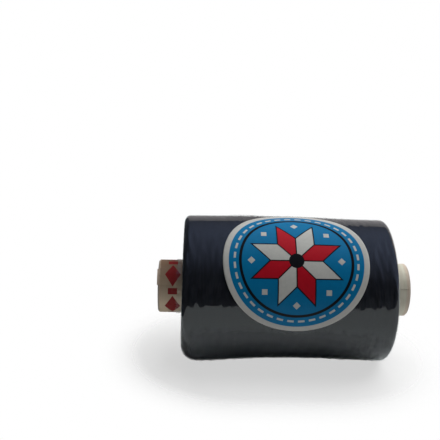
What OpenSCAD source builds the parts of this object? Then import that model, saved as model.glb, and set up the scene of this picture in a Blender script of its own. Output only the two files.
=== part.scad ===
// Spool of sewing thread: a package of thread wound on a paper tube.
// A clear film is shrunk over the thread and onto the tube, and a round paper label is stuck on the film.
// The spool lies on its side: its axis runs along X, and the film's flat rests on Z = 0.

/* [Paper tube] */
// Length of the tube from rim to rim
tube_l = 104; // [98:1:160]
// Bore of the tube
bore_d = 19; // [12:0.5:30]
// Thickness of the tube's wall, cover paper included
wall_t = 1.5; // [1:0.1:4]
// Thickness of the liner paper in the bore
liner_t = 0.25; // [0.1:0.05:0.4]
// Thickness of the printed cover paper
cover_t = 0.2; // [0.1:0.05:0.4]
// Radius of the rounded nose on each rim
nose_r = 0.6; // [0.2:0.1:0.8]
// Width of the cover paper's glued lap, measured around the tube
lap_w = 7; // [3:0.5:12]
// Angle of the lap's lower edge above the horizontal, on the -Y side
lap_angle = 23; // [-60:1:60]
// How far the lap stands out past the left rim
lap_reach = 0.3; // [0.1:0.1:0.8]

/* [Thread] */
// Diameter of the package over the film
package_d = 60; // [50:1:90]
// Length of the package over the film
package_l = 85.2; // [71:0.2:92]
// Offset of the package from the middle of the tube
package_shift = 0.6; // [-3:0.1:3]
// Radius of the package's rounded shoulders
shoulder_r = 3; // [2:0.5:8]
// Diameter of the thread
strand_d = 0.3; // [0.2:0.05:0.6]
// Turns of thread in the outer layer
turns = 24; // [8:1:24]
// Depth of the hole that each end of the outer layer tucks into
tuck_depth = 0.6; // [0.4:0.1:2]

/* [Shrink film] */
// Thickness of the film
film_t = 0.12; // [0.08:0.02:0.2]
// Width of the film's collar on the tube, at each end of the package
collar_w = 2.4; // [1:0.2:4]
// How deep the film is pressed flat where the spool rests
rest_depth = 0.5; // [0.3:0.1:0.8]

/* [Label] */
// Diameter of the round label, measured flat
label_d = 57.6; // [30:0.2:62]
// Thickness of the label
label_t = 0.12; // [0.08:0.02:0.2]
// Angle of the label's centre above the horizontal, on the -Y side
label_angle = 42; // [35:1:60]
// Offset of the label's centre from the middle of the package
label_shift = 2; // [-4:0.1:4]

/* [Fits] */
// Play between layers that are glued, wound or shrunk over each other
layer_gap = 0.05; // [0.02:0.01:0.1]

/* [Hidden] */

ROUND = 96;
RINGS_PER_TURN = 24;
RING_SIDES = 6;
LABEL_POINTS = 96;
CUT = 1;
DOWN = 270;

// Radii of the tube, from the bore outwards
bore_r = bore_d / 2;
tube_r = bore_r + wall_t;
liner_out_r = bore_r + liner_t;
board_in_r = liner_out_r + layer_gap;
cover_in_r = tube_r - cover_t;
board_out_r = cover_in_r - layer_gap;
lap_out_r = tube_r + cover_t;
board_nose_r = min(nose_r, 0.9 * (board_out_r - board_in_r));
cover_l = tube_l - 2 * nose_r;
lap_sweep = lap_w / tube_r * 180 / PI;

// Radii of the package, from the film inwards, and of the label on the film
film_out_r = package_d / 2;
film_in_r = film_out_r - film_t;
layer_out_r = film_in_r - layer_gap;
strand_r = strand_d / 2;
path_r = layer_out_r - strand_r;
label_in_r = film_out_r + layer_gap;
label_out_r = label_in_r + label_t;

// Distances of the pressed flat from the axis, for the film and what lies in it
axis_z = film_out_r - rest_depth;
film_flat_r = axis_z - film_t;
path_flat_r = film_flat_r - layer_gap - strand_r;
base_flat_r = path_flat_r - strand_r - layer_gap;

// The outer layer's route, and the thread under it
film_in_l = package_l - 2 * film_t;
base_l = film_in_l - 2 * layer_gap;
wind_l = package_l - 2 * shoulder_r - 2 * strand_d;
pitch = wind_l / turns;
step_angle = 360 / RINGS_PER_TURN;
last_ring = turns * RINGS_PER_TURN;
base_r = least_path_r() - strand_r - layer_gap;
tuck_r = base_r - tuck_depth;

// Direction in the Y-Z plane at an angle above the horizontal, on the -Y side
function side_direction(angle) = [-cos(angle), sin(angle)];

// Distance of the outer layer from the axis at an angle, pressed flat where the spool rests
function route_r(angle) = cos(angle - DOWN) > 0 ? min(path_r, path_flat_r / cos(angle - DOWN)) : path_r;

// Angle of a ring, with the first two rings on either side of straight down
function ring_angle(ring) = DOWN + (ring - 0.5) * step_angle;

// Distance from the axis to the straight line between two rings of the layer
function chord_r(ring) =
    let (
        from = route_r(ring_angle(ring)) * [cos(ring_angle(ring)), sin(ring_angle(ring))],
        to = route_r(ring_angle(ring + 1)) * [cos(ring_angle(ring + 1)), sin(ring_angle(ring + 1))]
    )
    abs(cross(from, to)) / norm(to - from);

// Least distance of the layer's centre line from the axis, the pressed flat left out
function least_path_r() = min([for (ring = [1 : RINGS_PER_TURN - 1]) chord_r(ring)]);

// Unit vectors across the axis at a ring, outwards and along the winding
function outwards(ring) = [0, cos(ring_angle(ring)), sin(ring_angle(ring))];
function along(ring) = [0, -sin(ring_angle(ring)), cos(ring_angle(ring))];

// Point of the outer layer's centre line, at a distance from the axis
function route_point(ring, radius) =
    [package_shift - wind_l / 2 + pitch * ring / RINGS_PER_TURN, 0, axis_z] + radius * outwards(ring);

// Centre line of the outer layer, whose ends go straight down into the thread below
route = [
    route_point(0, tuck_r),
    for (ring = [0 : last_ring]) route_point(ring, route_r(ring_angle(ring))),
    route_point(last_ring, tuck_r)
];

// Direction in which each ring's first corner points; a corner of the route has a mitred ring
facings = [
    -along(0),
    outwards(0) - along(0),
    for (ring = [1 : last_ring - 1]) outwards(ring),
    outwards(last_ring) + along(last_ring),
    along(last_ring)
];

// Least gap between one turn of the layer and the next, measured between the route's points
strand_gap = min([
    for (i = [0 : len(route) - 1])
        for (j = [i + RINGS_PER_TURN / 2 : 1 : len(route) - 1])
            norm(route[i] - route[j])
]) - strand_d;

// Puts a form that is drawn around Z on the spool's axis
module on_axis(shift = 0) {
    translate([shift, 0, axis_z])
        rotate([0, 90, 0])
            children();
}

// Extrudes a section that is drawn in the Y-Z plane along the spool's axis
module along_axis(shift, length) {
    translate([shift, 0, axis_z])
        rotate([90, 0, 90])
            linear_extrude(length, center = true)
                children();
}

// Ring-shaped section
module ring(inner_r, outer_r) {
    difference() {
        circle(r = outer_r, $fn = ROUND);
        circle(r = inner_r, $fn = ROUND);
    }
}

// Sector of the plane that the cover's lap takes up, widened by a margin on both sides
module lap_wedge(reach, margin) {
    margin_angle = margin / tube_r * 180 / PI;
    polygon([
        [0, 0],
        2 * reach * side_direction(lap_angle - margin_angle),
        2 * reach * side_direction(lap_angle + lap_sweep + margin_angle)
    ]);
}

// Bar of the tube's outer shape, grown by a clearance: a round bar with the lap standing out
module tube_bar(clearance, shift, length) {
    along_axis(shift, length)
        union() {
            circle(r = tube_r + clearance, $fn = ROUND);
            intersection() {
                circle(r = lap_out_r + clearance, $fn = ROUND);
                lap_wedge(lap_out_r + clearance, clearance);
            }
        }
}

// Half section of the package: a square end with a rounded shoulder on both sides
module package_section(radius, length, shoulder) {
    straight_l = length - 2 * shoulder;
    translate([0, -length / 2])
        square([radius - shoulder, length]);
    translate([0, -straight_l / 2])
        square([radius, straight_l]);
    for (side = [-1, 1])
        translate([radius - shoulder, side * straight_l / 2])
            circle(r = shoulder, $fn = ROUND);
}

// Solid of the package at one layer, pressed flat below the axis
module package_solid(radius, length, shoulder, flat_r) {
    intersection() {
        on_axis(package_shift)
            rotate_extrude($fn = ROUND)
                package_section(radius, length, shoulder);
        translate([-tube_l, -package_d, axis_z - flat_r])
            cube([2 * tube_l, 2 * package_d, 2 * package_d]);
    }
}

// Inner ply of the tube
module tube_liner() {
    color("#8f8779")
        along_axis(0, tube_l)
            ring(bore_r, liner_out_r);
}

// Board plies of the tube, with a rounded nose on each rim
module tube_board() {
    color("#a39a8b")
        on_axis()
            rotate_extrude($fn = ROUND)
                board_section();
}

// Half section of the board plies
module board_section() {
    wall = board_out_r - board_in_r;
    translate([board_in_r, -tube_l / 2])
        square([wall - board_nose_r, tube_l]);
    translate([board_in_r, board_nose_r - tube_l / 2])
        square([wall, tube_l - 2 * board_nose_r]);
    for (side = [-1, 1])
        translate([board_out_r - board_nose_r, side * (tube_l / 2 - board_nose_r)])
            intersection() {
                circle(r = board_nose_r, $fn = ROUND);
                translate([0, -CUT])
                    square(2 * CUT);
            }
}

// Section of the cover paper where it lies on itself
module lap_section(inner_r) {
    intersection() {
        ring(inner_r, lap_out_r);
        lap_wedge(lap_out_r, 0);
    }
}

// Printed cover paper, which laps over itself along the tube; its outer ply reaches past the left rim
module tube_cover() {
    lap_l = cover_l + nose_r + lap_reach;
    color("#cfc6b2") {
        along_axis(0, cover_l)
            union() {
                ring(cover_in_r, tube_r);
                lap_section(cover_in_r);
            }
        along_axis((cover_l - lap_l) / 2, lap_l)
            lap_section(tube_r);
    }
}

// Thread under the outer layer, wound on the tube, with a hole for each end of the layer
module thread_base() {
    color("#1c2130")
        difference() {
            package_solid(base_r, base_l, shoulder_r - film_t - layer_gap, base_flat_r);
            tube_bar(layer_gap, 0, tube_l);
            for (ring = [0, last_ring])
                tuck_hole(ring);
        }
}

// Round hole from the outer layer down to where its end sits
module tuck_hole(ring) {
    translate(route_point(ring, tuck_r))
        rotate([ring_angle(ring) - 90, 0, 0])
            cylinder(r = strand_r + layer_gap, h = tuck_depth + CUT, $fn = ROUND);
}

// Outer layer of thread: one unbroken strand in spaced turns
module thread_outer_layer() {
    echo(least_gap_between_turns = strand_gap);
    axial = [1, 0, 0];
    corners = [
        for (i = [0 : len(route) - 1])
            for (side = [0 : RING_SIDES - 1])
                let (angle = side * 360 / RING_SIDES)
                route[i] + strand_r * (cos(angle) * facings[i] + sin(angle) * axial)
    ];
    end = (len(route) - 1) * RING_SIDES;
    walls = [
        for (start = [0 : RING_SIDES : end - RING_SIDES])
            for (side = [0 : RING_SIDES - 1])
                let (
                    a = start + side,
                    b = start + (side + 1) % RING_SIDES
                )
                for (face = [[a, b, b + RING_SIDES], [a, b + RING_SIDES, a + RING_SIDES]]) face
    ];
    first_cap = [for (side = [1 : RING_SIDES - 2]) [0, side + 1, side]];
    last_cap = [for (side = [1 : RING_SIDES - 2]) [end, end + side, end + side + 1]];
    color("#2b3145")
        polyhedron(points = corners, faces = concat(walls, first_cap, last_cap));
}

// Clear film, shrunk over the package and in a collar onto each end of the tube
module shrink_film() {
    color("#b9c0c8", 0.4)
        difference() {
            union() {
                package_solid(film_out_r, package_l, shoulder_r, axis_z);
                tube_bar(layer_gap + film_t, package_shift, package_l + 2 * collar_w);
            }
            package_solid(film_in_r, film_in_l, shoulder_r - film_t, film_flat_r);
            tube_bar(layer_gap, 0, tube_l + 2 * CUT);
        }
}

// Round paper label, wrapped on the film
module label() {
    label_r = label_d / 2;
    outline = [
        for (i = [0 : LABEL_POINTS - 1])
            let (
                angle = i * 360 / LABEL_POINTS,
                wrapped = label_r * sin(angle) / label_out_r * 180 / PI
            )
            [label_r * cos(angle), label_out_r * sin(wrapped)]
    ];
    color("#d9d6cb")
        intersection() {
            along_axis(package_shift + label_shift, label_d + 2 * CUT)
                ring(label_in_r, label_out_r);
            translate([package_shift + label_shift, 0, axis_z])
                rotate([90 - label_angle, 0, 0])
                    linear_extrude(label_out_r + CUT)
                        polygon(outline);
        }
}

tube_liner();
tube_board();
tube_cover();
thread_base();
thread_outer_layer();
shrink_film();
label();
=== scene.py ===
"""Spool of thread: a wound package on a paper tube, in clear shrink film with a round label on it."""

import math

import bpy
import numpy as np
from mathutils import Matrix, Vector


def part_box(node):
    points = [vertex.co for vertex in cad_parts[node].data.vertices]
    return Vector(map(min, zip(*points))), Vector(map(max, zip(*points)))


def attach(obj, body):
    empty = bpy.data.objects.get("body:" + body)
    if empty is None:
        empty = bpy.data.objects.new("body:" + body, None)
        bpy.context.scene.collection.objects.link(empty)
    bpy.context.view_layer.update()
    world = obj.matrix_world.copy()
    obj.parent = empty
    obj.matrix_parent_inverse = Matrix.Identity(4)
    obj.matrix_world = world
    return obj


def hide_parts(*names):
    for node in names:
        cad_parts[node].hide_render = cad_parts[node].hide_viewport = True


MM = 0.001
TURN = 2 * math.pi
RIPPLE_CREST = 0.7
RIPPLE_WAVES = 28

# --- Sizes, in metres, read from the frame ---------------------------------------------------
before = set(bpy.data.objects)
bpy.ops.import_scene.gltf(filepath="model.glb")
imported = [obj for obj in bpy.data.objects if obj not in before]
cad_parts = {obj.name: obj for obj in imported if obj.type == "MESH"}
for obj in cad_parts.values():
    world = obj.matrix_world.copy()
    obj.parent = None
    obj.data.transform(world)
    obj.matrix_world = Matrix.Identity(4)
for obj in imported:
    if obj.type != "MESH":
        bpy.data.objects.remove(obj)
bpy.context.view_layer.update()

FILM_LOW, FILM_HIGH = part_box("shrink_film")
LABEL_LOW, LABEL_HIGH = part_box("label")
BOARD_LOW, BOARD_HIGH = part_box("tube_board")
COVER_LOW, COVER_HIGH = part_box("tube_cover")
BASE_LOW, BASE_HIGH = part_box("thread_base")

AXIS_Z = (BOARD_LOW.z + BOARD_HIGH.z) / 2
FILM_R = FILM_HIGH.z - AXIS_Z
PACK_X = (FILM_LOW.x + FILM_HIGH.x) / 2
LABEL_X = (LABEL_LOW.x + LABEL_HIGH.x) / 2
LABEL_R = (LABEL_HIGH.x - LABEL_LOW.x) / 2
BASE_HALF = (BASE_HIGH.x - BASE_LOW.x) / 2
COLLAR_HALF = (FILM_HIGH.x - FILM_LOW.x) / 2
FLAT_Z = FILM_LOW.z

# --- Sizes that the boxes don't give: layers as in the CAD model, shoulders as photographed ------
FILM_T = 0.12 * MM
LABEL_T = 0.12 * MM
LAYER_GAP = 0.05 * MM
SHOULDER_R = 2.2 * MM
SHOULDER_LOW_LEFT_R = 6.0 * MM
SHOULDER_LOW_RIGHT_R = 3.2 * MM
SHOULDER_HIGH_R = 2.6 * MM
TUBE_R = 11.0 * MM
COVER_T = 0.2 * MM
LAP_START = math.radians(23)
LAP_SWEEP = 7.0 * MM / TUBE_R
LABEL_ANGLE = math.radians(42)
THREAD_D = 0.3 * MM
FILM_HALF = BASE_HALF + LAYER_GAP + FILM_T
LABEL_IN_R = FILM_R + LAYER_GAP
LABEL_OUT_R = LABEL_IN_R + LABEL_T
LAYER_R = FILM_R - FILM_T - LAYER_GAP

# --- Camera, fitted to the photograph's 440 x 440 frame ------------------------------------------
PHOTO_PX = 440
FOCAL_PX = 780
SENSOR = 36.0
CAMERA_AZIMUTH = -1.484
CAMERA_ELEVATION = 16.906
CAMERA_ROLL = 1.517
CAMERA_DISTANCE = 320.7 * MM
CLIP_NEAR = 10 * MM
CLIP_FAR = 20.0
AIM = Vector((-27.01 * MM, 0, AXIS_Z + 29.36 * MM))


def make_camera():
    """Camera at the photograph's viewing angle, aimed at the frame's centre."""
    azimuth = math.radians(CAMERA_AZIMUTH)
    elevation = math.radians(CAMERA_ELEVATION)
    roll = math.radians(CAMERA_ROLL)
    back = Vector(
        (
            math.sin(azimuth) * math.cos(elevation),
            -math.cos(azimuth) * math.cos(elevation),
            math.sin(elevation),
        )
    )
    right = Vector((math.cos(azimuth), math.sin(azimuth), 0))
    up = back.cross(right)
    turned_right = right * math.cos(roll) + up * math.sin(roll)
    turned_up = -right * math.sin(roll) + up * math.cos(roll)
    data = bpy.data.cameras.new("camera")
    data.sensor_width = SENSOR
    data.lens = FOCAL_PX / PHOTO_PX * SENSOR
    data.clip_start = CLIP_NEAR
    data.clip_end = CLIP_FAR
    camera = bpy.data.objects.new("camera", data)
    axes = Matrix((turned_right, turned_up, back)).transposed()
    camera.matrix_world = Matrix.Translation(AIM + back * CAMERA_DISTANCE) @ axes.to_4x4()
    bpy.context.scene.collection.objects.link(camera)
    bpy.context.scene.camera = camera


# --- Meshes ----------------------------------------------------------------------------------


def mesh_object(name, points, faces, smooth=True):
    """Object with a mesh of the given points and faces, in the row frame."""
    mesh = bpy.data.meshes.new(name)
    mesh.from_pydata([tuple(p) for p in points], [], [tuple(int(i) for i in f) for f in faces])
    mesh.validate()
    mesh.polygons.foreach_set("use_smooth", [smooth] * len(mesh.polygons))
    mesh.update()
    made = bpy.data.objects.new(name, mesh)
    bpy.context.scene.collection.objects.link(made)
    return made


def grid_faces(rows, columns, closed, offset=0, flip=False):
    """Quads of a grid of points, row by row; closed joins the last column to the first."""
    width = columns if closed else columns - 1
    i, j = np.meshgrid(np.arange(rows - 1), np.arange(width), indexing="ij")
    after = (j + 1) % columns
    quads = np.stack(
        [i * columns + j, i * columns + after, (i + 1) * columns + after, (i + 1) * columns + j],
        axis=-1,
    ).reshape(-1, 4)
    return offset + (quads[:, ::-1] if flip else quads)


class Ripple:
    """Smooth random waves over the package, whose value is about 1 at its crests."""

    def __init__(self, seed, along_mm, around_mm, count=RIPPLE_WAVES):
        rng = np.random.default_rng(seed)
        self.along = TURN / (rng.uniform(*along_mm, count) * MM) * rng.choice([-1, 1], count)
        self.around = np.round(TURN * FILM_R / (rng.uniform(*around_mm, count) * MM))
        self.phase = rng.uniform(0, TURN, count)
        self.scale = 1 / math.sqrt(count / 2)

    def __call__(self, x, angle):
        total = np.zeros(np.broadcast(x, angle).shape)
        for along, around, phase in zip(self.along, self.around, self.phase):
            total += np.sin(along * x + around * angle + phase)
        return total * self.scale * RIPPLE_CREST


def ramp(value, low, high):
    """Smooth step from 0 at low to 1 at high."""
    t = np.clip((value - low) / (high - low), 0, 1)
    return t * t * (3 - 2 * t)


def spool_points(x, radius, angle):
    """Points at a place along the axis, a distance from it, and an angle above the -Y horizon."""
    return np.stack(
        np.broadcast_arrays(x, -radius * np.cos(angle), AXIS_Z + radius * np.sin(angle)), axis=-1
    )


# --- Shader graphs -----------------------------------------------------------------------------
# The Mix node's sockets for colours.
MIX_FIRST = 6
MIX_SECOND = 7
MIX_RESULT = 2
# Spans of noise that are mapped onto a material's values.
NOISE_NARROW = (0.35, 0.65)
NOISE_WIDE = (0.3, 0.7)


class Graph:
    """Short way to write a material's or a world's nodes."""

    def __init__(self, tree):
        self.tree = tree
        tree.nodes.clear()

    def node(self, kind, settings=None, **inputs):
        made = self.tree.nodes.new(kind)
        for key, value in (settings or {}).items():
            setattr(made, key, value)
        for key, value in inputs.items():
            self.feed(made.inputs[key.replace("_", " ")], value)
        return made

    def feed(self, socket, value):
        if isinstance(value, bpy.types.NodeSocket):
            self.tree.links.new(value, socket)
        elif isinstance(value, bpy.types.Node):
            self.tree.links.new(value.outputs[0], socket)
        else:
            socket.default_value = value

    def math(self, operation, *values):
        made = self.tree.nodes.new("ShaderNodeMath")
        made.operation = operation
        for socket, value in zip(made.inputs, values):
            self.feed(socket, value)
        return made.outputs[0]

    def scaled(self, value, factor):
        return self.math("MULTIPLY", value, factor)

    def weigh(self, first, second, share):
        """Two values added: a share of the first and the rest of the second."""
        return self.math("MULTIPLY_ADD", first, share, self.scaled(second, 1 - share))

    def vector(self, x, y, z=0.0):
        return self.node("ShaderNodeCombineXYZ", X=x, Y=y, Z=z).outputs[0]

    def stretched(self, along, arc, per_mm, depth=0.0):
        """Place for a noise with its own number of waves a millimetre along the axis and round it."""
        return self.vector(self.scaled(along, per_mm[0]), self.scaled(arc, per_mm[1]), depth)

    def step(self, value, edge, soft):
        """0 below the edge and 1 above it, with a soft band."""
        made = self.node("ShaderNodeMapRange", {"interpolation_type": "SMOOTHSTEP"}, Value=value)
        self.feed(made.inputs["From Min"], edge - soft)
        self.feed(made.inputs["From Max"], edge + soft)
        return made.outputs[0]

    def below(self, value, edge, soft):
        """1 below the edge and 0 above it, with a soft band."""
        return self.math("SUBTRACT", 1.0, self.step(value, edge, soft))

    def span(self, value, ends, to_ends):
        """Value between two ends, mapped onto the range between two others."""
        made = self.node("ShaderNodeMapRange", Value=value)
        for key, number in zip(("From Min", "From Max", "To Min", "To Max"), ends + to_ends):
            made.inputs[key].default_value = number
        return made.outputs[0]

    def mix(self, share, first, second, blend="MIX"):
        made = self.node("ShaderNodeMix", {"data_type": "RGBA", "blend_type": blend})
        self.feed(made.inputs[0], share)
        self.feed(made.inputs[MIX_FIRST], first)
        self.feed(made.inputs[MIX_SECOND], second)
        return made.outputs[MIX_RESULT]

    def noise(self, vector, scale, detail=3.0, rough=0.55):
        made = self.node("ShaderNodeTexNoise", Vector=vector, Scale=scale, Detail=detail, Roughness=rough)
        return made.outputs[0]

    def bump(self, height, distance, strength):
        return self.node("ShaderNodeBump", Height=height, Strength=strength, Distance=distance).outputs[0]


def spool_axes(graph):
    """Millimetres along the axis, the angle above the -Y horizon and millimetres from the axis."""
    place = graph.node("ShaderNodeTexCoord").outputs["Object"]
    parts = graph.node("ShaderNodeSeparateXYZ", Vector=place)
    along = graph.math("MULTIPLY", parts.outputs[0], 1 / MM)
    across = graph.math("MULTIPLY", parts.outputs[1], -1 / MM)
    height = graph.math("MULTIPLY_ADD", parts.outputs[2], 1 / MM, -AXIS_Z / MM)
    angle = graph.math("ARCTAN2", height, across)
    squares = graph.math("MULTIPLY_ADD", across, across, graph.math("MULTIPLY", height, height))
    return along, angle, graph.math("SQRT", squares)


def new_material(name):
    made = bpy.data.materials.new(name)
    made.use_nodes = True
    return made, Graph(made.node_tree)


def principled(graph, **inputs):
    """Principled shader on the material's output."""
    shader = graph.node("ShaderNodeBsdfPrincipled")
    for key, value in inputs.items():
        graph.feed(shader.inputs[key.replace("_", " ")], value)
    graph.node("ShaderNodeOutputMaterial", Surface=shader)
    return shader


# --- Thread --------------------------------------------------------------------------------------
THREAD_DARK = (0.0022, 0.003, 0.0055, 1)
THREAD_LIGHT = (0.0065, 0.009, 0.017, 1)
THREAD_PITCH = 0.34 * MM
THREAD_STEPS = 56
THREAD_SIDES = 6
WINDING_SINK = 0.1 * MM
WINDING_LIFT = 0.1 * MM
WANDER = 0.05 * MM
BULGE = 0.035 * MM
FACE_DENT = 0.07 * MM
BODY_SINK = 0.8 * THREAD_D
FACE_SINK = 0.4 * THREAD_D
BODY_AROUND = 180
BODY_RINGS = 70
BODY_SPACING = 0.9 * MM
LAP_FADE = 2 * MM
BOW = 0.3 * MM
LEAN = 0.016
LEFT_LEAN = 0.012
FLARE = 0.9 * MM
FLARE_X = -34 * MM
FLARE_HALF = 14 * MM
WAIST = 0.6 * MM
WAIST_X = 6 * MM
WAIST_HALF = 24 * MM
SAG = 0.6 * MM
SAG_REACH = 32 * MM
SAG_RISE = (0.3, 0.9)
SWELL_RISE = (0.5, 0.9)
SHOULDER_LOW_RISE = (0, 0.9)
SHOULDER_HIGH_RISE = (0.5, 1)
THREAD_STREAKS = (1.6, 0.08)
THREAD_FIBRES = (9.0, 1.1)
THREAD_ROUGH = (0.62, 0.9)
THREAD_SHEEN = (0.45, 0.5, 0.75, 1)


def thread_material():
    """Near-black navy spun polyester, with fine streaks along the turns."""
    material, graph = new_material("thread")
    along, angle, radius = spool_axes(graph)
    arc = graph.math("MULTIPLY", angle, radius)
    streaks = graph.noise(graph.stretched(along, arc, THREAD_STREAKS), scale=1.0)
    fibre_place = graph.stretched(along, arc, THREAD_FIBRES, radius)
    fibres = graph.noise(fibre_place, scale=1.0, detail=4.0, rough=0.7)
    share = graph.span(graph.weigh(streaks, fibres, share=0.6), NOISE_NARROW, (0, 1))
    principled(
        graph,
        Base_Color=graph.mix(share, THREAD_DARK, THREAD_LIGHT),
        Roughness=graph.span(fibres, NOISE_WIDE, THREAD_ROUGH),
        Specular_IOR_Level=0.12,
        Sheen_Weight=0.06,
        Sheen_Roughness=0.5,
        Sheen_Tint=THREAD_SHEEN,
        Normal=graph.bump(fibres, distance=0.03 * MM, strength=0.8),
    )
    return material


def shoulder_size(angle, x):
    """Radius of the package's rounded shoulders, larger above and below than in front and behind."""
    low_r = np.where(x < 0, SHOULDER_LOW_LEFT_R, SHOULDER_LOW_RIGHT_R)
    low = (low_r - SHOULDER_R) * ramp(-np.sin(angle), *SHOULDER_LOW_RISE)
    high = (SHOULDER_HIGH_R - SHOULDER_R) * ramp(np.sin(angle), *SHOULDER_HIGH_RISE)
    return SHOULDER_R + low + high


def thread_profile(radius, half, spacing):
    """Outline from one end face to the other: x and radius, each with its share of the shoulder's size."""
    straight = half - SHOULDER_R
    quarter = math.pi / 2 * SHOULDER_R
    total = 2 * quarter + 2 * straight
    s = np.linspace(0, total, max(2, int(total / spacing) + 1))
    body = np.clip((s - quarter - straight) / straight, -1, 1)
    turn = np.minimum(np.minimum(s, total - s), quarter) / SHOULDER_R
    side = np.sign(s - total / 2)
    x_share = np.where(turn < math.pi / 2, side * (1 - np.cos(turn)), body)
    x = np.where(turn < math.pi / 2, side * half, body * half)
    return x, x_share, np.full_like(s, radius), 1 - np.sin(turn)


def settle(points, level):
    """Points of the package as it lies: bowed, leaning, swelled low at the left and pressed flat below."""
    x = points[..., 0] - PACK_X
    y = points[..., 1]
    z = points[..., 2] - AXIS_Z
    far = np.maximum(np.hypot(y, z), TUBE_R)
    outer = np.clip((far - TUBE_R) / (FILM_R - TUBE_R), 0, 1)
    flare = FLARE * np.exp(-(((x - FLARE_X) / FLARE_HALF) ** 2))
    waist = WAIST * np.exp(-(((x - WAIST_X) / WAIST_HALF) ** 2))
    sag = SAG * ramp(z / far, *SAG_RISE) * ramp(x, 0, SAG_REACH)
    swell = outer * ((flare - waist) * ramp(-z / far, *SWELL_RISE) - sag)
    points[..., 1] += swell * y / far
    points[..., 2] += swell * z / far + BOW * outer * (1 - (x / FILM_HALF) ** 2)
    points[..., 0] += z * (LEFT_LEAN * ramp(-x, 0, FILM_HALF) - LEAN * ramp(x, 0, FILM_HALF))
    points[..., 2] = np.maximum(points[..., 2], level)
    return points


def make_winding(material):
    """Outer layer: one unbroken strand from end face to end face, each turn beside the last."""
    thread_r = THREAD_D / 2
    path_r = LAYER_R - thread_r - WINDING_SINK
    half = BASE_HALF - thread_r - WINDING_SINK
    x, x_share, r, r_share = thread_profile(path_r, half, THREAD_PITCH / THREAD_STEPS)
    count = len(x)
    angle = np.arange(count) * (TURN / THREAD_STEPS)
    size = shoulder_size(angle, x) - FILM_T - LAYER_GAP - thread_r - WINDING_SINK
    x = x - x_share * size
    r = r - r_share * size
    wander = Ripple(seed=3, along_mm=(3, 9), around_mm=(60, 190))
    bulge = Ripple(seed=4, along_mm=(1.2, 4), around_mm=(12, 60))
    x = x + wander(x, angle) * WANDER
    r = r + bulge(x, angle) * BULGE
    centre = spool_points(PACK_X + x, r, angle)
    tangent = np.gradient(centre, axis=0)
    tangent /= np.linalg.norm(tangent, axis=1, keepdims=True)
    outward = centre - np.stack([centre[:, 0], np.zeros(count), np.full(count, AXIS_Z)], axis=-1)
    outward /= np.linalg.norm(outward, axis=1, keepdims=True)
    side = np.cross(tangent, outward)
    turns = np.arange(THREAD_SIDES) * (TURN / THREAD_SIDES)
    points = centre[:, None] + thread_r * (
        np.cos(turns)[None, :, None] * outward[:, None] + np.sin(turns)[None, :, None] * side[:, None]
    )
    points = settle(points.reshape(-1, 3), FLAT_Z + FILM_T + LAYER_GAP + WINDING_LIFT)
    faces = [list(f) for f in grid_faces(count, THREAD_SIDES, True)]
    end = (count - 1) * THREAD_SIDES
    faces.append(list(range(THREAD_SIDES))[::-1])
    faces.append([end + side for side in range(THREAD_SIDES)])
    made = mesh_object("thread_winding", points, faces)
    made.data.materials.append(material)
    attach(made, "root")
    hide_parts("thread_outer_layer")
    return made


def make_thread_body(material):
    """Thread under the outer layer, with the layered ends of the winding showing at its end faces."""
    body_r = LAYER_R - BODY_SINK
    hole_r = TUBE_R + LAYER_GAP
    face_x = BASE_HALF - FACE_SINK
    around = BODY_AROUND
    x, x_share, r, r_share = thread_profile(body_r, face_x, BODY_SPACING)
    rings = np.linspace(0, 1, BODY_RINGS, endpoint=False)
    none = np.zeros(BODY_RINGS)
    ends = hole_r + rings * (body_r - hole_r)
    path = [
        np.concatenate([none - face_x, x, none + face_x]),
        np.concatenate([none, x_share, none]),
        np.concatenate([ends, r, ends[::-1]]),
        np.concatenate([rings, r_share, rings[::-1]]),
    ]
    x, x_share, r, r_share = (column[:, None] for column in path)
    angle = (np.arange(around) * (TURN / around))[None, :]
    size = shoulder_size(angle, x) - FILM_T - LAYER_GAP
    on_face = np.concatenate([none + 1, np.zeros(len(path[0]) - 2 * BODY_RINGS), none + 1])[:, None]
    layers = Ripple(seed=8, along_mm=(0.9, 1.6), around_mm=(20, 190))
    place_r = r - r_share * size
    place_r = place_r + lap_share(angle) * COVER_T * (1 - ramp(place_r, hole_r, hole_r + LAP_FADE))
    dent = np.abs(layers(place_r, angle)) * FACE_DENT * on_face
    place_x = x - x_share * size
    points = spool_points(PACK_X + place_x - np.sign(place_x) * dent, place_r, angle)
    rows = len(path[0])
    points = settle(points.reshape(-1, 3), FLAT_Z + FILM_T + LAYER_GAP + THREAD_D)
    faces = np.concatenate([grid_faces(rows, around, True), bridge(rows - 1, 0, around)])
    made = mesh_object("thread_body", points, faces)
    made.data.materials.append(material)
    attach(made, "root")
    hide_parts("thread_base")
    return made


def bridge(first_row, second_row, columns):
    """Quads between two closed rows of a grid."""
    j = np.arange(columns)
    after = (j + 1) % columns
    first = first_row * columns
    second = second_row * columns
    return np.stack([first + j, first + after, second + after, second + j], axis=-1)


# --- Label: the sizes of its print are in millimetres, as the shader's axes are ------------------
PAPER = (0.48, 0.485, 0.46, 1)
INK_BLUE = (0.001, 0.152, 0.335, 1)
INK_RED = (0.42, 0.006, 0.016, 1)
INK_BLACK = (0.004, 0.005, 0.006, 1)
LABEL_SWELL = 0.08
LABEL_RINGS = 48
LABEL_AROUND = 192
LABEL_RING_BIAS = 0.8
PRINT_SOFT = 0.07
SHARE_SOFT = 0.02
PAPER_TONES = (0.93, 1.05)
LABEL_ROUGH = (0.3, 0.42)
BLUE_FIELD_R = 26.4
STAR_ARMS = 8
STAR_TIP_R = 19.6
STAR_OUTLINE = 0.5
RIM_LINE_R = 21.9
RIM_LINE_W = 0.55
STITCH_R = 24.1
STITCH_W = 0.42
STITCHES = 36
STITCH_SHARE = 0.6
HUB_R = 3.0
BUD_R = 17.6
BUD_W = 1.5


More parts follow.
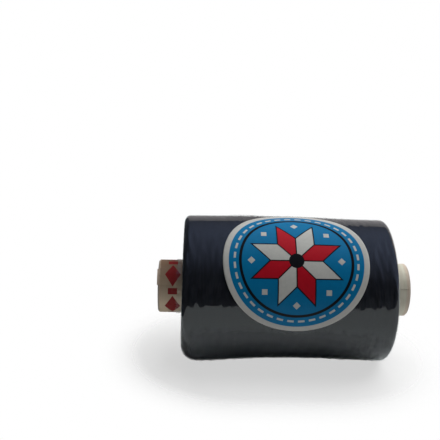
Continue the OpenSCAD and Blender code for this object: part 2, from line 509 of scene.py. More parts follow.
def label_star(graph, radius, turn, offset, between):
    """Shares of the star's outline, of its patches and of its odd arms."""
    arm = TURN / STAR_ARMS
    star_x = graph.math("MULTIPLY", radius, graph.math("COSINE", offset))
    star_y = graph.math("MULTIPLY", radius, graph.math("ABSOLUTE", graph.math("SINE", offset)))
    reach = graph.math("MULTIPLY_ADD", star_x, math.sin(arm / 2), graph.scaled(star_y, math.cos(arm / 2)))
    edge = STAR_TIP_R * math.sin(arm / 2)
    inside = graph.below(reach, edge, PRINT_SOFT)
    inner = graph.below(reach, edge - STAR_OUTLINE, PRINT_SOFT)
    odd = graph.math("MODULO", graph.math("FLOOR", turn), 2.0)
    seam_gap = graph.math("MULTIPLY", radius, graph.math("SINE", between))
    off_seam = graph.step(seam_gap, STAR_OUTLINE / 2, PRINT_SOFT)
    off_hub = graph.step(radius, HUB_R, PRINT_SOFT)
    return inside, graph.math("MULTIPLY", graph.math("MULTIPLY", inner, off_seam), off_hub), odd


def label_trim(graph, radius, bearing, between):
    """Shares of the line round the star, of the running stitches and of the buds between the arms."""
    line = graph.math("ABSOLUTE", graph.math("SUBTRACT", radius, RIM_LINE_R))
    dash = graph.math("FRACT", graph.scaled(bearing, STITCHES / TURN))
    off_dash = graph.math("ABSOLUTE", graph.math("SUBTRACT", dash, 0.5))
    off_stitch = graph.math("ABSOLUTE", graph.math("SUBTRACT", radius, STITCH_R))
    on_dash = graph.below(off_dash, STITCH_SHARE / 2, SHARE_SOFT)
    stitch = graph.math("MULTIPLY", on_dash, graph.below(off_stitch, STITCH_W, PRINT_SOFT))
    bud_x = graph.math("SUBTRACT", graph.math("MULTIPLY", radius, graph.math("COSINE", between)), BUD_R)
    bud_y = graph.math("MULTIPLY", radius, graph.math("SINE", between))
    bud_far = graph.math("ADD", graph.math("ABSOLUTE", bud_x), graph.math("ABSOLUTE", bud_y))
    return graph.below(line, RIM_LINE_W, PRINT_SOFT), stitch, graph.below(bud_far, BUD_W, PRINT_SOFT)


def label_material():
    """Cream paper printed with an eight-pointed patchwork star in a ring of running stitches."""
    material, graph = new_material("label_paper")
    along, angle, _ = spool_axes(graph)
    across = graph.math("SUBTRACT", along, LABEL_X / MM)
    rise = graph.scaled(graph.math("SUBTRACT", angle, LABEL_ANGLE), LABEL_OUT_R / MM)
    squares = graph.math("MULTIPLY_ADD", across, across, graph.math("MULTIPLY", rise, rise))
    radius = graph.math("SQRT", squares)
    bearing = graph.math("ADD", graph.math("ARCTAN2", rise, across), TURN / 2)
    arm = TURN / STAR_ARMS
    turn = graph.math("DIVIDE", bearing, arm)
    offset = graph.scaled(graph.math("SUBTRACT", graph.math("FRACT", turn), 0.5), arm)
    between = graph.math("SUBTRACT", arm / 2, graph.math("ABSOLUTE", offset))
    inside, patch, odd = label_star(graph, radius, turn, offset, between)
    rim_line, stitch, bud = label_trim(graph, radius, bearing, between)
    place = graph.node("ShaderNodeTexCoord").outputs["Object"]
    speck = graph.noise(place, scale=900.0, detail=3.0, rough=0.6)
    cloud = graph.noise(place, scale=60.0, detail=2.0, rough=0.5)
    tone = graph.span(graph.weigh(speck, cloud, share=0.5), NOISE_NARROW, PAPER_TONES)
    grey = graph.node("ShaderNodeCombineColor", Red=tone, Green=tone, Blue=tone)
    colour = graph.mix(graph.step(radius, BLUE_FIELD_R, PRINT_SOFT), INK_BLUE, PAPER)
    colour = graph.mix(rim_line, colour, INK_BLACK)
    colour = graph.mix(stitch, colour, PAPER)
    colour = graph.mix(bud, colour, PAPER)
    colour = graph.mix(inside, colour, INK_BLACK)
    colour = graph.mix(patch, colour, graph.mix(odd, INK_RED, PAPER))
    principled(
        graph,
        Base_Color=graph.mix(1.0, colour, grey, "MULTIPLY"),
        Roughness=graph.span(speck, NOISE_WIDE, LABEL_ROUGH),
        Specular_IOR_Level=0.1,
        Normal=graph.bump(speck, distance=0.01 * MM, strength=0.5),
    )
    return material


def make_label(material):
    """Round paper label, stuck on the film and wrapped round it, that follows the film's ripples a little."""
    rings = LABEL_RINGS
    around = LABEL_AROUND
    share = np.linspace(0, 1, rings) ** LABEL_RING_BIAS
    bearing = np.arange(around) * (TURN / around)
    across = LABEL_R * share[:, None] * np.cos(bearing)[None, :]
    rise = LABEL_R * share[:, None] * np.sin(bearing)[None, :]
    angle = LABEL_ANGLE + rise / LABEL_OUT_R
    x = LABEL_X + across
    swell = ribs(x, angle) * LABEL_SWELL
    top = spool_points(x, LABEL_OUT_R + swell, angle)[1:].reshape(-1, 3)
    under = spool_points(x, LABEL_IN_R + swell, angle)[1:].reshape(-1, 3)
    poles = np.array(
        [
            spool_points(LABEL_X, LABEL_OUT_R, LABEL_ANGLE),
            spool_points(LABEL_X, LABEL_IN_R, LABEL_ANGLE),
        ]
    )
    rows = rings - 1
    size = rows * around
    points = settle(np.concatenate([top, under, poles]), FLAT_Z)
    faces = [list(f) for f in grid_faces(rows, around, True, 0, True)]
    faces += [list(f) for f in grid_faces(rows, around, True, size)]
    last = (rows - 1) * around
    for j in range(around):
        after = (j + 1) % around
        faces.append([2 * size, j, after])
        faces.append([2 * size + 1, size + after, size + j])
        faces.append([last + j, size + last + j, size + last + after, last + after])
    made = mesh_object("label_disc", points, faces)
    made.data.materials.append(material)
    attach(made, "root")
    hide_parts("label")
    return made


# --- Shrink film ---------------------------------------------------------------------------------
RIB_HEIGHT = 0.1 * MM
RIB_CALM = 0.7
RIB_DIP = 0.07 * MM
RIB_LEVEL = 0.4
RIB_CALM_RISE = (0.8, 0.98)
SAG_SHARE = 0.4
SAG_WAVES = 16
FILM_AROUND = 224
FILM_ALONG = 128
FACE_ROWS = 26
FILLET_R = 0.8 * MM
FILLET_STEPS = 12
COLLAR_STEPS = 9
COLLAR_R = TUBE_R + LAYER_GAP + FILM_T
LAP_EDGE = 0.5 * MM
PLEATS = 26
PLEAT_OFFSET = 1.3
# Waves round the tube, each as its count, its size and its phase.
PLEAT_DRIFT = ((3, 2.5, 1.0), (7, 1.4, 2.0))
COLLAR_DRIFT = ((5, 0.18, 0.7), (13, 0.12, 0.0))
PLEAT_HEIGHT = 0.22 * MM
PLEAT_REACH = 11 * MM
COLLAR_WAVE = 1.2 * MM
FACE_RIPPLE = 0.25
HELD_FROM = 0.8 * MM
HELD_TO = 2.2 * MM
POCKET_X = -17 * MM
POCKET_HALF = 7 * MM
POCKET_ANGLE = math.radians(99)
POCKET_SPREAD = math.radians(7)
POCKET_H = 0.4 * MM
FILM_END_INSET = 0.4
FILM_END_SOFT = 0.3
FILM_END_RAYS = 3.0
FILM_RAY_SPREAD = 7.0
FILM_RAY_LENGTH = 0.09
FILM_SOFT_WAVES = (0.3, 0.09)
FILM_SOFT_SHARE = 0.5
FILM_IOR = 1.51
FILM_ROUGH = 0.05
FILM_MIRROR = (0.93, 1, 1, 1)
FILM_CLEAR = (0.97, 0.97, 0.965, 1)

rib_waves = Ripple(seed=11, along_mm=(2.2, 5.5), around_mm=(11, 32))
sag_waves = Ripple(seed=12, along_mm=(9, 30), around_mm=(30, 95), count=SAG_WAVES)


def ribs(x, angle):
    """Height of the film's ripples over the winding."""
    taut = 1 - RIB_CALM * ramp(np.sin(angle), *RIB_CALM_RISE)
    waves = RIB_LEVEL + rib_waves(x, angle) + SAG_SHARE * sag_waves(x, angle)
    return np.maximum(RIB_HEIGHT * taut * waves, -RIB_DIP)


def label_share(x, angle):
    """1 under the label, which holds the film flat, and 0 away from it."""
    rise = (np.mod(angle - LABEL_ANGLE + math.pi, TURN) - math.pi) * LABEL_OUT_R
    far = np.hypot(x - LABEL_X, rise)
    return 1 - ramp(far, LABEL_R + HELD_FROM, LABEL_R + HELD_TO)


def pocket(x, angle):
    """Height of the air pocket in the film, along the top left of the package."""
    along = np.exp(-(((x - POCKET_X) / POCKET_HALF) ** 4))
    return POCKET_H * along * np.exp(-(((angle - POCKET_ANGLE) / POCKET_SPREAD) ** 2))


def film_profile():
    """Outline of the film between its collars' edges: x and radius, their shoulder shares, and the normal."""
    quarter = np.linspace(0, math.pi / 2, FILLET_STEPS)[1:]
    collar = np.linspace(COLLAR_HALF, FILM_HALF + FILLET_R, COLLAR_STEPS)
    rows = [(x, 0, COLLAR_R, 0, 0, 1) for x in collar]
    for turn in quarter:
        x = FILM_HALF + FILLET_R * (1 - math.sin(turn))
        r = COLLAR_R + FILLET_R * (1 - math.cos(turn))
        rows.append((x, 0, r, 0, math.sin(turn), math.cos(turn)))
    low = COLLAR_R + FILLET_R
    for share in np.linspace(0, 1, FACE_ROWS)[1:]:
        rows.append((FILM_HALF, 0, low + share * (FILM_R - low), share, 1, 0))
    for turn in quarter:
        sine, cosine = math.sin(turn), math.cos(turn)
        rows.append((FILM_HALF, 1 - cosine, FILM_R, 1 - sine, cosine, sine))
    half = np.array(rows)
    body = np.linspace(1, -1, FILM_ALONG)[1:-1]
    none = body * 0
    middle = np.stack([body * FILM_HALF, body, none + FILM_R, none, none, none + 1], axis=-1)
    mirrored = half[::-1] * np.array([-1, -1, 1, 1, -1, 1])
    return np.concatenate([half, middle, mirrored])


def lap_share(angle):
    """1 over the cover paper's lap, 0 away from it."""
    middle = LAP_START + LAP_SWEEP / 2
    off = np.abs(np.mod(angle - middle + math.pi, TURN) - math.pi) * TUBE_R
    return 1 - ramp(off, LAP_SWEEP / 2 * TUBE_R, LAP_SWEEP / 2 * TUBE_R + LAP_EDGE)


def drift(angle, waves, start=0.0):
    """A start value and a few waves round the tube, added up."""
    return sum((size * np.sin(count * angle + phase) for count, size, phase in waves), start)


def pleats(x, angle):
    """0 to 1 over the film's pleats, which fan out unevenly round the tube and differ at the two ends."""
    phase = drift(angle, PLEAT_DRIFT, PLEATS * angle)
    return (0.5 + 0.5 * np.sin(phase + np.sign(x) * PLEAT_OFFSET)) ** 2


def collar_slide(x, angle):
    """How far each collar's edge wanders along the tube."""
    edge = -ramp(np.abs(x), COLLAR_HALF - COLLAR_WAVE, COLLAR_HALF)
    return np.sign(x) * edge * drift(angle, COLLAR_DRIFT) * MM


def film_height(x, r, angle):
    """How far the film stands off its smooth outline: ripples, air pocket, pleats and the lap under it."""
    held = label_share(PACK_X + x, angle)
    free = 1 - (1 - LABEL_SWELL) * held
    on_body = ramp(r, FILM_R - SHOULDER_R, FILM_R)
    calm = FACE_RIPPLE + (1 - FACE_RIPPLE) * on_body
    near_tube = 1 - ramp(r, COLLAR_R, COLLAR_R + PLEAT_REACH)
    near_collar = 1 - ramp(r, COLLAR_R, COLLAR_R + LAP_FADE)
    height = ribs(PACK_X + x, angle) * calm * free + pocket(PACK_X + x, angle) * (1 - held)
    height = height + pleats(x, angle) * near_tube * PLEAT_HEIGHT
    return height + lap_share(angle) * COVER_T * near_collar


def make_film(material):
    """Clear film over the package: ribbed by the turns, pleated at its ends, with a collar on the tube."""
    outline = film_profile()
    x, x_share, r, r_share, nx, nr = (column[:, None] for column in outline.T)
    angle = (np.arange(FILM_AROUND) * (TURN / FILM_AROUND))[None, :]
    size = shoulder_size(angle, x)
    x = x - x_share * size
    r = r - r_share * size
    height = film_height(x, r, angle)
    place = PACK_X + x + collar_slide(x, angle)
    outer = spool_points(place + nx * height, r + nr * height, angle)
    inner = spool_points(place + nx * (height - FILM_T), r + nr * (height - FILM_T), angle)
    # The inner face needs only every second row.
    inner = np.concatenate([inner[:-1:2], inner[-1:]])
    rows = len(outer)
    inner_rows = len(inner)
    outer = settle(outer.reshape(-1, 3), FLAT_Z)
    inner = settle(inner.reshape(-1, 3), FLAT_Z + FILM_T)
    size = len(outer)
    points = np.concatenate([outer, inner])
    faces = [list(f) for f in grid_faces(rows, FILM_AROUND, True, 0)]
    faces += [list(f) for f in grid_faces(inner_rows, FILM_AROUND, True, size, True)]
    outer_last = (rows - 1) * FILM_AROUND
    inner_last = size + (inner_rows - 1) * FILM_AROUND
    for j in range(FILM_AROUND):
        after = (j + 1) % FILM_AROUND
        faces.append([after, j, size + j, size + after])
        faces.append([outer_last + j, outer_last + after, inner_last + after, inner_last + j])
    made = mesh_object("clear_film", points, faces)
    made.data.materials.append(material)
    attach(made, "root")
    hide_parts("shrink_film")
    return made


def film_material():
    """Clear film: what lies under it shows through, and its outer face mirrors by Fresnel."""
    material, graph = new_material("film")
    along, angle, radius = spool_axes(graph)
    arc = graph.math("MULTIPLY", angle, radius)
    along_waves, around_waves = FILM_SOFT_WAVES
    reach = graph.math("MULTIPLY_ADD", along, along_waves, graph.scaled(radius, along_waves))
    soft_place = graph.vector(reach, graph.scaled(arc, around_waves))
    soft = graph.noise(soft_place, scale=1.0, detail=2.0, rough=0.45)
    turn = graph.scaled(angle, FILM_RAY_SPREAD)
    ray_place = graph.vector(graph.scaled(radius, FILM_RAY_LENGTH), graph.math("SINE", turn), turn)
    rays = graph.noise(ray_place, scale=1.0, detail=3.0, rough=0.6)
    off_middle = graph.math("ABSOLUTE", graph.math("SUBTRACT", along, PACK_X / MM))
    on_end = graph.step(off_middle, FILM_HALF / MM - FILM_END_INSET, FILM_END_SOFT)
    end_rays = graph.scaled(graph.math("MULTIPLY", rays, on_end), FILM_END_RAYS)
    height = graph.math("ADD", graph.scaled(soft, FILM_SOFT_SHARE), end_rays)
    normal = graph.bump(height, distance=0.12 * MM, strength=0.7)
    inside = graph.node("ShaderNodeNewGeometry").outputs["Backfacing"]
    outer = graph.math("SUBTRACT", 1.0, inside)
    fresnel = graph.node("ShaderNodeFresnel", IOR=FILM_IOR, Normal=normal).outputs[0]
    share = graph.math("MULTIPLY", fresnel, outer)
    mirror = graph.node("ShaderNodeBsdfAnisotropic", Roughness=FILM_ROUGH, Normal=normal)
    mirror.inputs["Color"].default_value = FILM_MIRROR
    clear = graph.node("ShaderNodeBsdfTransparent")
    clear.inputs["Color"].default_value = FILM_CLEAR
    both = graph.node("ShaderNodeMixShader", Fac=share)
    graph.feed(both.inputs[1], clear)
    graph.feed(both.inputs[2], mirror)
    graph.node("ShaderNodeOutputMaterial", Surface=both)
    return material


# --- Paper tube: the sizes of its print are in millimetres, as the shader's axes are -------------
COVER_PAPER = (0.68, 0.66, 0.55, 1)
COVER_WORN = (0.58, 0.55, 0.44, 1)
COVER_WARM = (0.76, 0.62, 0.45, 1)
# Painted shade for the top of the tube's left end.
COVER_PAINTED_SHADE = (0.22, 0.14, 0.09, 1)
# Lighter rim colour: partly rubbed wear, partly a painted highlight where the rims catch the light.
COVER_RUBBED_HIGHLIGHT = (0.62, 0.5, 0.4, 1)
RUBBED_HIGHLIGHT_W = 1.1
RUBBED_HIGHLIGHT_SOFT = 0.4
RUBBED_HIGHLIGHT_SHARE = 0.7
RUBBED_HIGHLIGHT_FRAY = 0.8
COVER_STREAKS = (2.6, 0.12)
COVER_ROUGH = (0.55, 0.8)
WORN_SPAN = (0.38, 0.62)
INK_SPAN = (0.3, 0.62)
INK_SHARES = (0.93, 1.0)
WARM_REACH = (-40, 30)
WARM_CLOUD = 20.0
# How the painted shade on the tube's left end grows towards its top.
PAINTED_SHADE_RISE = 0.75
PAINTED_SHADE_LEVEL = 0.28
PLY_T = 0.33
PLY_WARP = 0.25
PLY_SHARE = 0.25
PLY_SPAN = (0.25, 0.75)
PRINT_RED = (0.27, 0.012, 0.015, 1)
BOARD_LIGHT = (0.46, 0.41, 0.35, 1)
BOARD_DARK = (0.30, 0.26, 0.21, 1)
LINER = (0.26, 0.23, 0.19, 1)
LINER_LINES = (3.0, 0.1)
LOZENGES = 5
LOZENGE_X = 6.4
LOZENGE_PHASE = 0.36
LOZENGE_HALF_X = 3.2
LOZENGE_HALF_ARC = 5.0
BAR_HALF_X = 1.9
BAR_HALF_ARC = 1.3


def cover_print(graph, from_rim, angle):
    """Share of ink on the cover: lozenges round the tube, with a bar between each two."""
    turn = graph.math("MULTIPLY_ADD", angle, LOZENGES / TURN, 0.5 + LOZENGE_PHASE)
    off_turn = graph.math("ABSOLUTE", graph.math("SUBTRACT", graph.math("FRACT", turn), 0.5))
    cell = TURN / LOZENGES * TUBE_R / MM
    off_arc = graph.scaled(off_turn, cell)
    off_bar = graph.math("SUBTRACT", cell / 2, off_arc)
    off_x = graph.math("ABSOLUTE", graph.math("SUBTRACT", from_rim, LOZENGE_X))
    x_share = graph.math("DIVIDE", off_x, LOZENGE_HALF_X)
    far = graph.math("ADD", x_share, graph.math("DIVIDE", off_arc, LOZENGE_HALF_ARC))
    lozenge = graph.below(far, 1.0, SHARE_SOFT)
    bar_long = graph.below(off_x, BAR_HALF_X, PRINT_SOFT)
    bar_round = graph.below(off_bar, BAR_HALF_ARC, PRINT_SOFT)
    return graph.math("MAXIMUM", lozenge, graph.math("MULTIPLY", bar_long, bar_round))


def cover_material():
    """Cream cover paper, warmer towards the left, with painted brown shade on its top at the left end, a
    lighter band along the rims that is partly wear and partly painted highlight, and red lozenges and bars
    near its left rim.
    """
    material, graph = new_material("cover_paper")
    along, angle, radius = spool_axes(graph)
    arc = graph.math("MULTIPLY", angle, radius)
    streaks = graph.noise(graph.stretched(along, arc, COVER_STREAKS), scale=1.0, detail=4.0)
    place = graph.node("ShaderNodeTexCoord").outputs["Object"]
    fibres = graph.noise(place, scale=1400.0, detail=4.0, rough=0.65)
    cloud = graph.noise(place, scale=120.0, detail=2.0)
    worn = graph.span(graph.weigh(streaks, cloud, share=0.7), WORN_SPAN, (0, 1))
    colour = graph.mix(worn, COVER_PAPER, COVER_WORN)
    toward_left = graph.span(graph.math("MULTIPLY_ADD", cloud, WARM_CLOUD, along), WARM_REACH, (1, 0))
    # Painted shade: towards the left, the top of the tube is darkened more the higher it faces.
    painted_shade_on_top = graph.math("MULTIPLY_ADD", graph.math("SINE", angle), PAINTED_SHADE_RISE, PAINTED_SHADE_LEVEL)
    colour = graph.mix(toward_left, colour, COVER_WARM)
    colour = graph.mix(graph.math("MULTIPLY", toward_left, painted_shade_on_top), colour, COVER_PAINTED_SHADE)
    from_rim = graph.math("SUBTRACT", along, COVER_LOW.x / MM)
    from_right = graph.math("SUBTRACT", COVER_HIGH.x / MM, along)
    near_rim = graph.math("MINIMUM", from_rim, from_right)
    # Lighter band along both rims: partly rubbed wear, partly a painted highlight.
    frayed = graph.math("MULTIPLY_ADD", fibres, RUBBED_HIGHLIGHT_FRAY, near_rim)
    rubbed_highlight = graph.below(frayed, RUBBED_HIGHLIGHT_W + RUBBED_HIGHLIGHT_SOFT, RUBBED_HIGHLIGHT_SOFT)
    colour = graph.mix(graph.scaled(rubbed_highlight, RUBBED_HIGHLIGHT_SHARE), colour, COVER_RUBBED_HIGHLIGHT)
    inked = cover_print(graph, from_rim, angle)
    patchy = graph.math("MULTIPLY", inked, graph.span(fibres, INK_SPAN, INK_SHARES))
    colour = graph.mix(patchy, colour, PRINT_RED)
    principled(
        graph,
        Base_Color=colour,
        Roughness=graph.span(fibres, NOISE_WIDE, COVER_ROUGH),
        Specular_IOR_Level=0.2,
        Normal=graph.bump(graph.weigh(streaks, fibres, share=0.6), distance=0.05 * MM, strength=0.5),
    )
    return material


def board_material():
    """Greyboard, whose wound plies show as fine rings on the cut rims."""
    material, graph = new_material("tube_board")
    _, _, radius = spool_axes(graph)
    place = graph.node("ShaderNodeTexCoord").outputs["Object"]
    fibres = graph.noise(place, scale=1800.0, detail=4.0, rough=0.7)
    warped = graph.math("MULTIPLY_ADD", fibres, PLY_WARP, radius)
    plies = graph.math("SINE", graph.scaled(warped, TURN / PLY_T))
    share = graph.span(graph.math("MULTIPLY_ADD", plies, PLY_SHARE, fibres), PLY_SPAN, (0, 1))
    principled(
        graph,
        Base_Color=graph.mix(share, BOARD_LIGHT, BOARD_DARK),
        Roughness=0.85,
        Specular_IOR_Level=0.2,
        Normal=graph.bump(share, distance=0.06 * MM, strength=0.6),
    )
    return material


def liner_material():
    """Uncoated liner paper in the bore, with fine lines round the tube."""
    material, graph = new_material("liner_paper")
    along, angle, radius = spool_axes(graph)
    arc = graph.math("MULTIPLY", angle, radius)
    lines = graph.noise(graph.stretched(along, arc, LINER_LINES), scale=1.0, detail=4.0)
    place = graph.node("ShaderNodeTexCoord").outputs["Object"]
    fibres = graph.noise(place, scale=1500.0, detail=4.0, rough=0.7)
    share = graph.span(graph.weigh(lines, fibres, share=0.6), NOISE_NARROW, (0, 1))
    principled(
        graph,
        Base_Color=graph.mix(share, BOARD_LIGHT, LINER),
        Roughness=0.9,
        Specular_IOR_Level=0.2,
        Normal=graph.bump(share, distance=0.05 * MM, strength=0.5),
    )
    return material


def dress_node(name, material):
    """Gives a CAD node a material of its own."""
    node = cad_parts[name]
    node.data.materials.clear()
    node.data.materials.append(material)


# --- Studio --------------------------------------------------------------------------------------
FLOOR_R = 0.5
FLOOR_SIDES = 96
FLOOR_LEFT = -18 * MM
FLOOR_RIGHT = 16 * MM
FLOOR_FADE = 38.25 * MM
FLOOR_FADE_SOFT = 22.75 * MM
FLOOR_FOOT_X = -52 * MM
FLOOR_FOOT_Y = 14 * MM
FLOOR_FOOT_HALF_X = 36 * MM
FLOOR_FOOT_HALF_Y = 38 * MM
FLOOR_FOOT_SOFT = 0.2
FLOOR_LIGHTEN = 0.6
FLOOR_COLOUR = (0.86, 0.86, 0.86, 1)
SKY = (0.06, 0.06, 0.062, 1)
# The hood glows though it is no lamp and is seen only in reflections: it paints the film's reflected bands
# and mottling.
HOOD_R = 0.7
HOOD_HALF = 1.6
HOOD_SPAN = (math.radians(-8.5), math.radians(185))
HOOD_STEPS = 96
HOOD_SLOPE = 1.3
HOOD_BACK_SLOPE = -0.5
HOOD_SLANT = 0.4
HOOD_PATCH = 0.16
HOOD_PATCH_LOW = 6.0
HOOD_PATCH_HIGH = 0.5
HOOD_FRONT = (0.08, 0.08, 0.09, 1)
HOOD_CEILING = (0.42, 0.47, 0.68, 1)
HOOD_WALL = (0.58, 0.52, 0.52, 1)
HOOD_RISE = math.radians(65)
HOOD_RISE_SOFT = math.radians(30)
HOOD_FALL = math.radians(132)
HOOD_FALL_SOFT = math.radians(27)
HOOD_WALL_EDGE = math.radians(148)
HOOD_WALL_SOFT = math.radians(1)
HOOD_PATCH_EDGE = math.radians(45)
HOOD_PATCH_SOFT = math.radians(15)
HOOD_WRAP = (math.radians(-90), math.radians(270))
HOOD_LEAST = 0.5
HOOD_MOST = 1.45
# The flag is a painted reflection: a faintly glowing dark sheet seen only in reflections.
FLAG_X = -0.11
FLAG_HALF = 0.3
FLAG_HIGH = 0.25
FLAG_TONE = (0.09, 0.092, 0.1, 1)
FLAG_STREAK = 0.02
FLAG_LEVELS = (0.3, 1.7)
LAMP_BEARING = math.radians(113)
LAMP_TILT = math.radians(20)
LAMP_FAR = 0.65
LAMP_SIZE = 0.9
LAMP_POWER = 7.9


def background_share(graph):
    """1 for the rays that see the studio as a white background."""
    path = graph.node("ShaderNodeLightPath")
    seen = graph.math("ADD", path.outputs["Is Camera Ray"], path.outputs["Is Glossy Ray"])
    return graph.math("MINIMUM", graph.math("ADD", seen, path.outputs["Is Transmission Ray"]), 1.0)


def make_world():
    """White background, and a faint even light from all round."""
    world = bpy.data.worlds.new("studio")
    world.use_nodes = True
    graph = Graph(world.node_tree)
    white = graph.node("ShaderNodeBackground", Color=(1, 1, 1, 1), Strength=1.0)
    soft = graph.node("ShaderNodeBackground", Color=SKY, Strength=1.0)
    both = graph.node("ShaderNodeMixShader", Fac=background_share(graph))
    graph.feed(both.inputs[1], soft)
    graph.feed(both.inputs[2], white)
    graph.node("ShaderNodeOutputWorld", Surface=both)
    bpy.context.scene.world = world


def floor_material():
    """Pale floor that fades to white, with an oval foot at the left that is darker in reflections alone."""
    material, graph = new_material("floor")
    place = graph.node("ShaderNodeSeparateXYZ", Vector=graph.node("ShaderNodeTexCoord").outputs["Object"])
    x, y = place.outputs[0], place.outputs[1]
    off_left = graph.math("SUBTRACT", FLOOR_LEFT, x)
    off_right = graph.math("SUBTRACT", x, FLOOR_RIGHT)
    off_end = graph.math("MAXIMUM", graph.math("MAXIMUM", off_left, off_right), 0.0)
    squares = graph.math("MULTIPLY_ADD", y, y, graph.math("MULTIPLY", off_end, off_end))
    fade = graph.step(graph.math("SQRT", squares), FLOOR_FADE, FLOOR_FADE_SOFT)
    foot_x = graph.scaled(graph.math("SUBTRACT", x, FLOOR_FOOT_X), 1 / FLOOR_FOOT_HALF_X)
    foot_y = graph.scaled(graph.math("SUBTRACT", y, FLOOR_FOOT_Y), 1 / FLOOR_FOOT_HALF_Y)
    foot_squares = graph.math("MULTIPLY_ADD", foot_x, foot_x, graph.math("MULTIPLY", foot_y, foot_y))
    off_foot = graph.step(graph.math("SQRT", foot_squares), 1.0, FLOOR_FOOT_SOFT)
    camera_ray = graph.node("ShaderNodeLightPath").outputs["Is Camera Ray"]
    seen = graph.math("MULTIPLY", camera_ray, graph.math("MAXIMUM", fade, FLOOR_LIGHTEN))
    pale = graph.math("MAXIMUM", graph.math("MULTIPLY", fade, off_foot), seen)
    clear = graph.node("ShaderNodeBsdfTransparent")
    matt = graph.node("ShaderNodeBsdfDiffuse", Color=FLOOR_COLOUR)
    both = graph.node("ShaderNodeMixShader", Fac=graph.math("MULTIPLY", pale, background_share(graph)))
    graph.feed(both.inputs[1], matt)
    graph.feed(both.inputs[2], clear)
    graph.node("ShaderNodeOutputMaterial", Surface=both)
    return material


def make_floor():
    """Round floor that keeps the spool's shadow."""
    angle = np.arange(FLOOR_SIDES) * (TURN / FLOOR_SIDES)
    level = np.zeros(FLOOR_SIDES)
    points = np.stack([FLOOR_R * np.cos(angle), FLOOR_R * np.sin(angle), level], axis=-1)
    floor = mesh_object("floor", points, [list(range(FLOOR_SIDES))])
    floor.data.materials.append(floor_material())


def hood_material():
    """Glow that the film mirrors as painted reflections: dark front, blue-grey ceiling and lighter wall
    behind, mottled by noise and brighter to the right.
    """
    material, graph = new_material("hood")
    place = graph.node("ShaderNodeTexCoord").outputs["Object"]
    parts = graph.node("ShaderNodeSeparateXYZ", Vector=place)
    x = parts.outputs[0]
    height = graph.math("SUBTRACT", parts.outputs[2], AXIS_Z)
    bearing = graph.math("ARCTAN2", height, graph.scaled(parts.outputs[1], -1.0))
    wrapped = graph.math("WRAP", bearing, *HOOD_WRAP)
    slanted = graph.math("MULTIPLY_ADD", graph.math("MAXIMUM", x, 0.0), HOOD_SLANT, wrapped)
    rise = graph.step(slanted, HOOD_RISE, HOOD_RISE_SOFT)
    overhead = graph.math("MULTIPLY", rise, graph.below(slanted, HOOD_FALL, HOOD_FALL_SOFT))
    on_wall = graph.step(slanted, HOOD_WALL_EDGE, HOOD_WALL_SOFT)
    tone = graph.mix(on_wall, graph.mix(overhead, HOOD_FRONT, HOOD_CEILING), HOOD_WALL)
    slope = graph.math("MULTIPLY_ADD", on_wall, HOOD_BACK_SLOPE, HOOD_SLOPE)
    side = graph.math("MULTIPLY_ADD", x, slope, 1.0)
    level = graph.math("MINIMUM", graph.math("MAXIMUM", side, HOOD_LEAST), HOOD_MOST)
    patch_place = graph.vector(graph.scaled(x, 1 / HOOD_PATCH), wrapped)
    patches = graph.noise(patch_place, scale=1.0, detail=2.0, rough=0.6)
    low_share = graph.below(wrapped, HOOD_PATCH_EDGE, HOOD_PATCH_SOFT)
    depth = graph.math("MULTIPLY_ADD", low_share, HOOD_PATCH_LOW, HOOD_PATCH_HIGH)
    mottle = graph.math("MULTIPLY_ADD", graph.math("SUBTRACT", patches, 0.5), depth, 1.0)
    strength = graph.math("MULTIPLY", level, graph.math("MAXIMUM", mottle, 0.0))
    glow = graph.node("ShaderNodeEmission", Color=tone, Strength=strength)
    graph.node("ShaderNodeOutputMaterial", Surface=glow)
    return material


def make_hood():
    """Studio hood over the spool, a glowing surface seen only by glossy rays, which paints the film's
    reflections.
    """
    low, high = HOOD_SPAN
    angle = np.linspace(low, high, HOOD_STEPS)[:, None]
    x = np.array([[-HOOD_HALF, HOOD_HALF]])
    points = spool_points(x, HOOD_R, angle).reshape(-1, 3)
    faces = [list(f) for f in grid_faces(HOOD_STEPS, 2, False)]
    faces += [list(range(side, 2 * HOOD_STEPS, 2)) for side in (0, 1)]
    hood = mesh_object("hood", points, faces, False)
    hood.data.materials.append(hood_material())
    keep_to_reflections(hood)


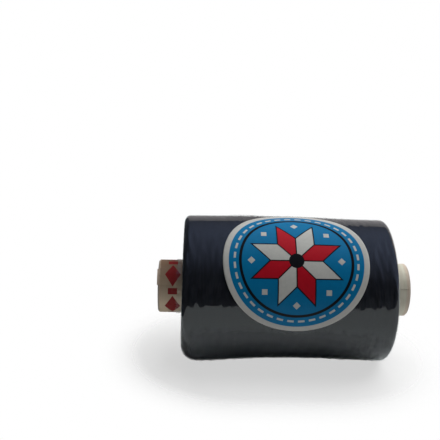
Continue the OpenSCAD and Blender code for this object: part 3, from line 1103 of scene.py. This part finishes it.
def make_flag():
    """Dark flag at the left, glowing faintly and seen only by glossy rays, a painted reflection where the
    photograph has a dark spool.
    """
    corners = ((-FLAG_HALF, 0), (FLAG_HALF, 0), (FLAG_HALF, FLAG_HIGH), (-FLAG_HALF, FLAG_HIGH))
    points = [(FLAG_X, y, z) for y, z in corners]
    flag = mesh_object("flag", points, [(0, 1, 2, 3)], False)
    material, graph = new_material("flag")
    place = graph.node("ShaderNodeTexCoord").outputs["Object"]
    streaks = graph.noise(place, scale=1 / FLAG_STREAK, detail=2.0, rough=0.5)
    strength = graph.span(streaks, NOISE_NARROW, FLAG_LEVELS)
    glow = graph.node("ShaderNodeEmission", Color=FLAG_TONE, Strength=strength)
    graph.node("ShaderNodeOutputMaterial", Surface=glow)
    flag.data.materials.append(material)
    keep_to_reflections(flag)


def keep_to_reflections(staged):
    """Hides a stage piece from all rays but glossy ones, so it gives no diffuse light and no shadow."""
    for kind in ("camera", "diffuse", "transmission", "volume_scatter", "shadow"):
        setattr(staged, f"visible_{kind}", False)


def make_lamp():
    """Soft square lamp over the spool: its bearing is from the -Y horizon upwards, its tilt towards +X."""
    ray = Vector(
        (
            math.sin(LAMP_TILT),
            -math.cos(LAMP_TILT) * math.cos(LAMP_BEARING),
            math.cos(LAMP_TILT) * math.sin(LAMP_BEARING),
        )
    )
    data = bpy.data.lights.new("lamp", "AREA")
    data.shape = "SQUARE"
    data.size = LAMP_SIZE
    data.energy = LAMP_POWER
    lamp = bpy.data.objects.new("lamp", data)
    lamp.location = Vector((0, 0, AXIS_Z)) + ray * LAMP_FAR
    lamp.rotation_euler = ray.to_track_quat("Z", "Y").to_euler()
    lamp.visible_glossy = False
    bpy.context.scene.collection.objects.link(lamp)


def main():
    make_camera()
    make_world()
    make_floor()
    make_hood()
    make_flag()
    make_lamp()
    thread = thread_material()
    make_thread_body(thread)
    make_winding(thread)
    make_label(label_material())
    make_film(film_material())
    dress_node("tube_liner", liner_material())
    dress_node("tube_board", board_material())
    dress_node("tube_cover", cover_material())
    bpy.context.scene.view_settings.view_transform = "Standard"


main()
